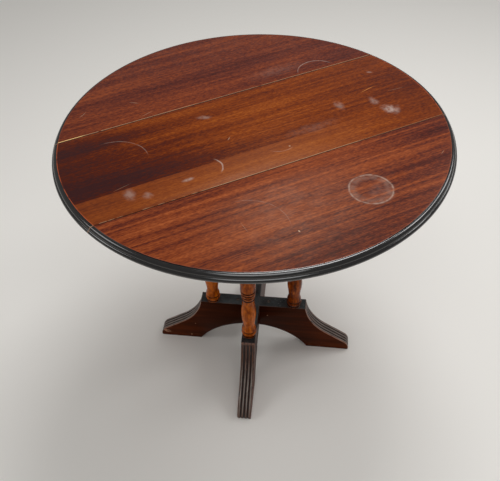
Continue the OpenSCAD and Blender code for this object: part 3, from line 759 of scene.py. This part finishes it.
def make_board(name, low, high):
    """Cuts one board from the round field, between two places across the table."""
    bpy.ops.object.select_all(action="DESELECT")
    bpy.ops.mesh.primitive_circle_add(
        vertices=round_steps, radius=field_radius, fill_type="NGON", location=(0, 0, underside))
    board = bpy.context.object
    board.name = board.data.name = name
    bpy.ops.object.transform_apply(location=True, rotation=False, scale=False)
    bpy.ops.object.mode_set(mode="EDIT")
    bpy.ops.mesh.select_all(action="SELECT")
    bpy.ops.mesh.extrude_region_move(
        TRANSFORM_OT_translate={"value": (0, 0, table_height - underside)})
    for edge, outwards in ((low, -1), (high, 1)):
        if abs(edge) < field_radius:
            bpy.ops.mesh.select_all(action="SELECT")
            bpy.ops.mesh.bisect(
                plane_co=(0, edge, 0), plane_no=(0, outwards, 0), clear_outer=True, use_fill=True)
    choose("edges", lambda edge: all(abs(end.co.z - table_height) < weld_distance for end in edge.verts))
    bpy.ops.mesh.bevel(offset=board_arris, segments=2, affect="EDGES")
    return close_piece(board, 30)


class Veneer(Finish):
    """Ribbon mahogany, its stripes along the joints, under a worn satin polish."""

    def __init__(self, name, start, colours, figure, shades):
        """figure is how strongly the ribbon shows; shades are broad stretches: place, half sizes, depth."""
        super().__init__(name)
        self.pores = self.noise((0.007, 0.0006, 1), detail=1, centre=(start, 3 * start, 0))
        layers = (
            (self.noise((0.55, 0.030, 1), detail=2, centre=(start, start, 0)), 0.50),
            (self.noise((0.42, 0.0085, 1), detail=2, centre=(start, 2 * start, 0)), figure),
            (self.noise((0.14, 0.0028, 1), detail=2, centre=(2 * start, start, 0)), 0.40),
            (self.noise((0.0085, 0.0022, 1), detail=2, centre=(2 * start, 3 * start, 0)), 0.72),
            (self.noise((0.022, 0.007, 1), detail=2, turn=-0.6, centre=(3 * start, start, 0)), 0.16),
            (self.pores, 0.20),
        )
        tone = 0.5 - sum(weight for layer, weight in layers) / 2
        for layer, weight in layers:
            tone = self.calc("MULTIPLY_ADD", layer, weight, tone)
        for x, y, half_length, half_width, depth in shades:
            stretch = self.patch((x, y, 0), (half_length, half_width, 9), wander=0.5)
            tone = self.calc("MULTIPLY_ADD", stretch, depth, tone)
        self.tone = tone
        self.colours = colours

    def lay(self):
        """Colours the wood by its tone, from the darkest to the palest."""
        places = (0.05, 0.35, 0.62, 1.0)
        self.colour = self.ramp(self.tone, *zip(places, self.colours))
        self.rough = self.remap(self.noise((0.03, 0.02, 1), detail=3), 0.3, 0.7, 0.30, 0.40)

    def glass_ring(self, x, y, radius, width, amount, seen=None, colour=shade(196, 176, 164)):
        """A pale ring; seen is the centre and half size of the patch in which it has not been wiped off."""
        mask = self.ring((x, y, table_height), radius, width)
        worn = self.remap(self.noise((0.012, 0.012, 1), detail=3), 0.25, 0.60, 0.15, 1.0)
        mask = self.times(mask, worn)
        if seen:
            window = self.patch((seen[0], seen[1], table_height), (seen[2], seen[3], 1), edge=0.5)
            mask = self.times(mask, window)
        self.stain(mask, colour, amount)
        self.dull(mask, 0.2)

    def bloom(self, x, y, half_length, half_width, turn, amount):
        """A milky spot where heat or damp has clouded the polish."""
        place = (x, y, table_height)
        mask = self.patch(place, (half_length, half_width, 1), turn, edge=0.1, wander=0.9)
        cloudy = self.remap(self.noise((0.008, 0.011, 1), detail=2), 0.28, 0.60, 0.30, 1.0)
        mask = self.times(mask, cloudy)
        self.stain(mask, shade(184, 166, 158), amount)
        self.dull(mask, 0.25)

    def scratch(self, start, end, half_width, amount, colour=shade(206, 178, 150)):
        """A thin scratch from one point to another."""
        middle = ((start[0] + end[0]) / 2, (start[1] + end[1]) / 2, table_height)
        reach = math.hypot(end[0] - start[0], end[1] - start[1]) / 2
        turn = math.atan2(end[1] - start[1], end[0] - start[0])
        mask = self.patch(middle, (reach, half_width, 1), turn, edge=0.3, wander=3.0)
        self.stain(mask, colour, amount)

    def joint_wear_and_shadow(self, edge, from_x, to_x, half_width, amount, colour, gaps=0.0):
        """Bare wood, or a painted shadow of the gap, along a stretch of a joint's edge; larger gaps break
        it up more.
        """
        band = self.remap(self.away(self.along("Y"), edge), half_width, half_width * 0.5)
        middle, half_length = (from_x + to_x) / 2, (to_x - from_x) / 2
        from_middle = self.away(self.along("X"), middle)
        band = self.times(band, self.remap(from_middle, half_length, half_length - 0.02))
        dashes = self.noise((0.013, 0.01, 1), detail=3, centre=(from_x, to_x, 0))
        band = self.times(band, self.remap(dashes, 0.22 + gaps, 0.40 + gaps))
        self.stain(band, colour, amount)

    def worn_rim(self, amount, colour=shade(150, 78, 54)):
        """The thin reddish line where the polish has gone at the edge of the field."""
        band = self.remap(self.from_axis(), field_radius - 0.0020, field_radius - 0.0006)
        broken = self.remap(self.noise((0.02, 0.02, 1), detail=3), 0.28, 0.48)
        self.stain(self.times(band, broken), colour, amount)


leaf_colours = shade(40, 14, 16), shade(83, 32, 24), shade(128, 59, 29), shade(172, 92, 48)
centre_colours = shade(54, 25, 26), shade(82, 28, 10), shade(122, 53, 10), shade(168, 90, 28)
pale_gold = shade(246, 204, 138)
bare_wood = shade(196, 158, 124)
# The colour of the painted shadow in the gap between boards.
joint_gap_shadow = shade(26, 10, 9)

centre_top = Veneer("centre_veneer_polish", 1.7, centre_colours, 0.44, (
    (-0.430, 0.010, 0.40, 0.17, -0.28),
    (-0.400, -0.045, 0.48, 0.034, -0.14),
    (-0.430, 0.110, 0.26, 0.12, -0.24),
    (0.060, 0.050, 0.24, 0.11, 0.12),
    (0.100, -0.112, 0.42, 0.05, 0.16),
    (0.420, 0.000, 0.22, 0.16, -0.12),
    (0.080, 0.115, 0.10, 0.010, -0.14),
    (0.350, 0.135, 0.08, 0.012, -0.14),
))


def join_veneers(veneer, seam_y):
    """A seam in the veneer: calm and pale in front of it, dark behind it at the left, lost at the right."""
    along = veneer.along("X")
    across = veneer.along("Y")
    in_front = veneer.remap(across, seam_y + 0.0006, seam_y - 0.0006)
    in_front = veneer.times(in_front, veneer.remap(along, 0.32, 0.05))
    left_end = veneer.remap(along, 0.02, -0.22)
    calm_tone = veneer.remap(along, -0.35, 0.05, 0.50, 0.90)
    to_calm = veneer.calc("SUBTRACT", calm_tone, veneer.tone)
    veneer.tone = veneer.calc(
        "MULTIPLY_ADD", veneer.times(in_front, 0.28), to_calm, veneer.tone)
    lift = veneer.times(in_front, veneer.remap(left_end, 0, 1, 0.02, 0.10))
    behind = veneer.calc("SUBTRACT", 1.0, in_front)
    behind = veneer.times(behind, veneer.remap(across, seam_y + 0.10, seam_y))
    behind = veneer.times(behind, left_end)
    lift = veneer.calc("MULTIPLY_ADD", behind, -0.15, lift)
    veneer.tone = veneer.calc("ADD", veneer.tone, lift)
    return in_front


seam = join_veneers(centre_top, -0.072)
centre_top.lay()
centre_top.stain(seam, shade(128, 82, 60), 0.14)
centre_top.glass_ring(-0.309, 0.021, 0.076, 0.0016, 0.30, (-0.255, 0.075, 0.075, 0.075))
centre_top.glass_ring(-0.138, -0.085, 0.033, 0.0026, 0.55, (-0.100, -0.088, 0.026, 0.036))
centre_top.glass_ring(0.034, -0.068, 0.037, 0.0016, 0.26, (0.025, -0.105, 0.035, 0.02))
for spot in (
    (0.218, -0.012, 0.012, 0.026, 0.0, 0.26),
    (0.297, -0.031, 0.013, 0.022, 0.1, 0.30),
    (0.313, -0.077, 0.023, 0.027, 0.6, 0.62),
    (-0.187, -0.101, 0.018, 0.007, 0.0, 0.60),
    (-0.310, -0.092, 0.016, 0.026, 0.0, 0.32),
    (-0.278, -0.112, 0.014, 0.014, 0.0, 0.28),
    (-0.074, 0.088, 0.022, 0.010, -0.4, 0.30),
    (0.355, 0.078, 0.010, 0.005, -0.6, 0.40),
    (0.120, -0.060, 0.090, 0.020, 0.0, 0.08),
):
    centre_top.bloom(*spot)
for mark in (
    ((0.284, 0.010), (0.336, 0.021), 0.0011, 0.80, shade(216, 140, 70)),
    ((-0.050, -0.006), (-0.062, -0.018), 0.0012, 0.45),
    ((0.340, -0.012), (0.398, -0.016), 0.0006, 0.30),
    ((-0.345, -0.070), (-0.290, -0.058), 0.0007, 0.25),
    ((0.046, -0.094), (0.052, -0.096), 0.0016, 0.85),
):
    centre_top.scratch(*mark)
centre_top.joint_wear_and_shadow(-board_edge, -0.410, -0.150, 0.0014, 0.60, bare_wood, 0.23)
centre_top.joint_wear_and_shadow(-board_edge, -0.170, 0.200, 0.0013, 0.78, bare_wood)
centre_top.joint_wear_and_shadow(-board_edge, 0.170, 0.410, 0.0009, 0.45, bare_wood, 0.06)
# Painted shadow of the gap along the centre board's far joint.
centre_top.joint_wear_and_shadow(board_edge, -0.440, 0.440, 0.0032, 0.85, joint_gap_shadow, -0.2)
centre_top.worn_rim(0.95, shade(176, 84, 50))

near_top = Veneer("near_leaf_polish", 4.3, leaf_colours, 0.76, (
    (0.000, -0.230, 0.36, 0.16, 0.08),
    (-0.300, -0.200, 0.18, 0.13, 0.09),
    (0.390, -0.200, 0.26, 0.20, -0.14),
    (0.240, -0.170, 0.26, 0.010, -0.16),
    (0.020, -0.385, 0.34, 0.050, -0.20),
    (0.250, -0.345, 0.22, 0.016, -0.14),
    (0.060, -0.232, 0.16, 0.010, -0.12),
    (-0.260, -0.165, 0.20, 0.012, -0.08),
))
near_top.lay()
near_top.glass_ring(0.125, -0.291, 0.0370, 0.0130, 0.24, colour=shade(172, 146, 132))
near_top.glass_ring(0.125, -0.291, 0.043, 0.0030, 0.50, colour=shade(190, 168, 152))
near_top.bloom(0.135, -0.305, 0.036, 0.030, 0.0, 0.10)
near_top.glass_ring(-0.141, -0.288, 0.083, 0.0014, 0.24, (-0.085, -0.250, 0.07, 0.08))
near_top.scratch((-0.058, -0.330), (-0.056, -0.337), 0.0016, 0.9)
near_top.scratch((-0.145, -0.260), (-0.142, -0.300), 0.0007, 0.25)
near_top.scratch((0.310, -0.262), (0.326, -0.252), 0.0008, 0.35)
# Painted shadow of the gap along the near leaf's joint.
near_top.joint_wear_and_shadow(-leaf_edge, -0.440, 0.440, 0.0028, 0.80, joint_gap_shadow, -0.2)
near_top.worn_rim(0.6)

far_top = Veneer("far_leaf_polish", 7.9, leaf_colours, 0.22, (
    (0.000, 0.290, 0.90, 0.60, -0.07),
    (0.120, 0.262, 0.16, 0.045, -0.08),
    (0.360, 0.240, 0.20, 0.15, -0.11),
    (-0.400, 0.180, 0.16, 0.06, -0.05),
    (-0.150, 0.325, 0.20, 0.024, 0.06),
))
far_top.lay()
far_top.glass_ring(0.250, 0.139, 0.050, 0.0020, 0.48, (0.250, 0.185, 0.07, 0.05))
far_top.scratch((-0.335, 0.218), (-0.310, 0.238), 0.0009, 0.45)
far_top.scratch((-0.210, 0.230), (-0.186, 0.211), 0.0009, 0.50)
far_top.scratch((-0.205, 0.157), (-0.165, 0.169), 0.0010, 0.32)
far_top.bloom(0.160, 0.190, 0.10, 0.03, 0.0, 0.08)
far_top.joint_wear_and_shadow(leaf_edge, -0.440, -0.330, 0.0024, 0.95, pale_gold)
far_top.joint_wear_and_shadow(leaf_edge, -0.350, -0.060, 0.0015, 0.75, bare_wood, 0.02)
far_top.joint_wear_and_shadow(leaf_edge, -0.080, 0.180, 0.0012, 0.62, bare_wood, 0.06)
far_top.joint_wear_and_shadow(leaf_edge, 0.160, 0.410, 0.0012, 0.70, bare_wood, 0.02)
far_top.worn_rim(0.4)

shellac = (1.0, 0.76, 0.55, 1)
board_side = hidden_wood_finish(
    "board_underside", 0, shade(66, 36, 22), shade(110, 66, 40), shade(146, 98, 62))

for name, low, high, body, veneer, slot in (
    ("centre_board", -board_edge, board_edge, "tabletop", centre_top, "centre_veneer"),
    ("near_leaf", -field_radius, -leaf_edge, "near_leaf", near_top, "leaf_veneer"),
    ("far_leaf", leaf_edge, field_radius, "far_leaf", far_top, "leaf_veneer"),
):
    board = make_board(name + "_veneered", low, high)
    polish = veneer.polish(specular=0.13, relief=veneer.pores, relief_depth=0.00004, tint=shellac)
    two_finishes(board, polish, board_side, lambda face: face.normal.z < 0.3)
    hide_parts(name)
    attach(board, body)


# The rim: an ebonised lipping glued round the boards, with an ovolo over a larger bead.
# It is moulded as one ring and cut at the joints, so each board carries its own stretch.

top_radius = -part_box("centre_rim_left")[0].x
quirk_depth = 0.0011
quirk_width = 0.0008
fillet_height = 0.0007
bead_reach = 0.0039
upper_land = 0.0009
ovolo_steps = 14
bead_steps = 8
ovolo_radius = top_radius - field_radius - quirk_width - bead_reach - upper_land
ovolo_x = top_radius - bead_reach - ovolo_radius
ovolo_z = table_height - quirk_depth - ovolo_radius
fillet_z = ovolo_z - fillet_height
lower_bead = (fillet_z - underside) / 2
lower_x = top_radius - lower_bead
lower_z = underside + lower_bead
fillet_x = ovolo_x + ovolo_radius
bead_start = lower_z + math.sqrt(lower_bead ** 2 - (fillet_x - lower_x) ** 2)


def make_rim(name, cuts):
    """Moulds the whole ring, then cuts it at planes, each a point and the direction that is removed."""
    start_outline(name, field_radius, underside)
    draw_to(
        (field_radius, table_height), (field_radius + quirk_width, table_height),
        (field_radius + quirk_width, table_height - quirk_depth), (ovolo_x, table_height - quirk_depth))
    draw_arc((ovolo_x, ovolo_z), (fillet_x, ovolo_z), ovolo_steps)
    draw_to((fillet_x, fillet_z), (fillet_x, bead_start))
    draw_arc((lower_x, lower_z), (top_radius, lower_z), bead_steps)
    draw_arc((lower_x, lower_z), (lower_x, underside), bead_steps)
    draw_to((field_radius, underside))
    bpy.ops.mesh.select_all(action="SELECT")
    bpy.ops.mesh.spin(steps=round_steps, angle=2 * math.pi, center=(0, 0, 0), axis=(0, 0, 1))
    bpy.ops.mesh.select_all(action="SELECT")
    bpy.ops.mesh.remove_doubles(threshold=weld_distance)
    for point, outwards in cuts:
        bpy.ops.mesh.select_all(action="SELECT")
        bpy.ops.mesh.bisect(plane_co=point, plane_no=outwards, clear_outer=True, use_fill=True)
    return close_piece(bpy.context.object)


def rim_finish(name):
    """Black stain under polish, worn to red-brown wood on the edges that hands and chairs touch."""
    black = Finish(name)
    fine = black.noise((0.004, 0.004, 0.001), detail=3)
    black.colour = black.ramp(
        fine, (0.3, shade(5, 4, 5)), (0.55, shade(11, 9, 10)), (0.8, shade(26, 20, 19)))
    cloud = black.noise((0.03, 0.03, 0.01), detail=3)
    black.rough = black.remap(cloud, 0.3, 0.7, 0.10, 0.18)
    inner = black.remap(
        black.from_axis(), field_radius + quirk_width, field_radius + quirk_width * 0.3)
    broken = black.remap(black.noise((0.02, 0.02, 0.02), detail=3, centre=(2, 1, 0)), 0.40, 0.58)
    black.stain(black.times(inner, broken), shade(140, 70, 50), 0.55)
    chip = black.noise((0.006, 0.006, 0.002), detail=4, centre=(4, 4, 1))
    black.stain(black.remap(chip, 0.69, 0.75), shade(112, 64, 44), 0.7)
    joint = black.away(black.calc("ABSOLUTE", black.along("Y")), board_edge)
    black.stain(black.remap(joint, 0.0016, 0.0007), shade(176, 138, 108), 0.75)
    black.feed(black.shader, {"Coat Weight": 0.35, "Coat Roughness": 0.14})
    return black.polish(specular=0.75, relief=cloud, relief_depth=0.00006)


rim_polish = rim_finish("ebonised_rim_polish")
between_joints = (((0, -board_edge, 0), (0, -1, 0)), ((0, board_edge, 0), (0, 1, 0)))
left_half = ((0, 0, 0), (1, 0, 0))
right_half = ((0, 0, 0), (-1, 0, 0))
near_of_joint = ((0, -leaf_edge, 0), (0, 1, 0))
far_of_joint = ((0, leaf_edge, 0), (0, -1, 0))
for name, cuts, node, body in (
    ("moulded_rim_left", (*between_joints, left_half), "centre_rim_left", "tabletop"),
    ("moulded_rim_right", (*between_joints, right_half), "centre_rim_right", "tabletop"),
    ("moulded_rim_near", (near_of_joint,), "near_leaf_rim", "near_leaf"),
    ("moulded_rim_far", (far_of_joint,), "far_leaf_rim", "far_leaf"),
):
    rim = make_rim(name, cuts)
    rim.data.materials.append(rim_polish)
    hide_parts(node)
    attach(rim, body)


# The leaf hinges: six brass backflap hinges, screwed under the boards at each joint.
# Each has a flap on the centre board, a flap on the leaf and a pin through their knuckles.

hinge_brass = metal_finish("dull_hinge_brass", shade(176, 140, 76), shade(104, 76, 38), 0.36)
dress(
    hinge_brass, "near_centre_flaps", "far_centre_flaps", "near_leaf_flaps", "far_leaf_flaps",
    "near_hinge_pins", "far_hinge_pins", "centre_flap_screws", "near_flap_screws", "far_flap_screws")


# The leaf stays: pairs of steel bars between a bracket on the centre board and one on the leaf.
# A rivet in the inner bar slides along the outer bar's slot and grips by friction.

stay_steel = metal_finish("stay_steel_worn", shade(158, 154, 148), shade(92, 86, 80), 0.32)
dress(stay_steel, *(
    name for name in nodes
    if name.endswith(("_bar", "_rivet", "_stay_brackets", "_stay_pins", "_bracket_screws"))))


# The room: a plain pale floor, a pale surround and soft lamps overhead, as in a studio.
# The camera stands where the photograph was taken from, as fitted to the top and the foot cross.

floor_width = 30
bpy.ops.object.select_all(action="DESELECT")
bpy.ops.mesh.primitive_plane_add(size=floor_width, location=(0, 0, 0))
floor = bpy.context.object
floor.name = floor.data.name = "studio_floor"
pale = bpy.data.materials.new("pale_floor")
pale.use_nodes = True
pale_shader = pale.node_tree.nodes["Principled BSDF"]
pale_shader.inputs["Base Color"].default_value = (0.92, 0.90, 0.86, 1)
pale_shader.inputs["Roughness"].default_value = 0.7
floor.data.materials.append(pale)

surround = bpy.data.worlds.new("studio_surround")
bpy.context.scene.world = surround
surround.use_nodes = True
surround_light = surround.node_tree.nodes["Background"]
surround_light.inputs["Color"].default_value = (1.0, 0.985, 0.96, 1)
surround_light.inputs["Strength"].default_value = 0.27


def softbox(name, place, aim, size, power):
    """A square lamp at a place, turned to face a point."""
    data = bpy.data.lights.new(name, "AREA")
    data.shape = "SQUARE"
    data.size = size
    data.energy = power
    lamp = bpy.data.objects.new(name, data)
    lamp.location = place
    lamp.rotation_euler = (Vector(aim) - Vector(place)).to_track_quat("-Z", "Y").to_euler()
    bpy.context.collection.objects.link(lamp)


softbox("softbox_far", (0.76, 0.76, 2.95), (0, 0, 0.7), 1.1, 30)
softbox("softbox_front", (-0.5, -1.4, 3.1), (0, 0, 0.5), 1.6, 21)
softbox("softbox_left", (-2.2, 0.8, 2.5), (0, 0, 0.6), 1.0, 9)
softbox("softbox_right", (2.4, 0.3, 2.3), (0, 0, 0.6), 0.8, 8)
softbox("softbox_side", (1.68, -0.26, 2.40), (0, 0, 0.6), 0.6, 7)

camera_place = (-0.49973, -1.09118, 1.61666)
camera_angles = (44.973, 3.293, -22.855)
camera_data = bpy.data.cameras.new("photo_camera")
camera_data.lens = 47.212
camera_data.sensor_width = 36
camera_data.shift_x = 0.0776
camera = bpy.data.objects.new("photo_camera", camera_data)
camera.location = camera_place
camera.rotation_euler = [math.radians(angle) for angle in camera_angles]
bpy.context.collection.objects.link(camera)
bpy.context.scene.camera = camera
bpy.context.scene.view_settings.view_transform = "Standard"
